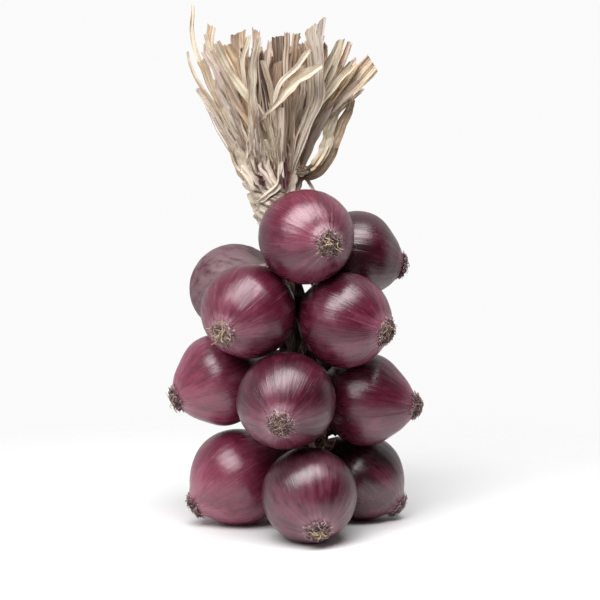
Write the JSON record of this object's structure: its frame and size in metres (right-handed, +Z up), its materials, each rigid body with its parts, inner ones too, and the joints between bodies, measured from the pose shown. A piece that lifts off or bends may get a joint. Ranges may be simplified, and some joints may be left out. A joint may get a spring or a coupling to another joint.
{
  "type": "string of red onions",
  "caption": "Upright string of glossy red onions tied round a leaning bundle of dried stalks, bound at the neck and topped by a spread tuft of cut leaves.",
  "frame": {"origin": "centre of the bounding box in plan, at the level of the surface that the string stands on", "axes": "+Z up along the string towards the leaf tuft, -Y towards the front that the picture shows, +X to the right seen from the front"},
  "size_m": [0.1703, 0.1644, 0.3517],
  "materials": {
    "onion_skin": "satin, finely veined dry onion skin in dark burgundy",
    "dried_stalk": "matt, fibrous grey-brown dried stalk",
    "dried_leaf": "matt, ribbed cream to beige dried leaf",
    "tie_leaf": "matt, twisted dried leaf"
  },
  "bodies": {
    "root": {"Onion_top_front": "onion_skin", "Onion_top_right": "onion_skin", "Onion_upper_back_left": "onion_skin", "Onion_upper_left": "onion_skin", "Onion_upper_right": "onion_skin", "Onion_middle_left": "onion_skin", "Onion_middle_front": "onion_skin", "Onion_middle_back": "onion_skin", "Onion_middle_right": "onion_skin", "Onion_low_left": "onion_skin", "Onion_low_front": "onion_skin", "Onion_low_right": "onion_skin", "Onion_low_back": "onion_skin", "Stem_bundle": "dried_stalk", "Leaf_tuft": "dried_leaf", "Tie_band": "tie_leaf", "Tie_knot": "tie_leaf"}
  },
  "joints": []
}
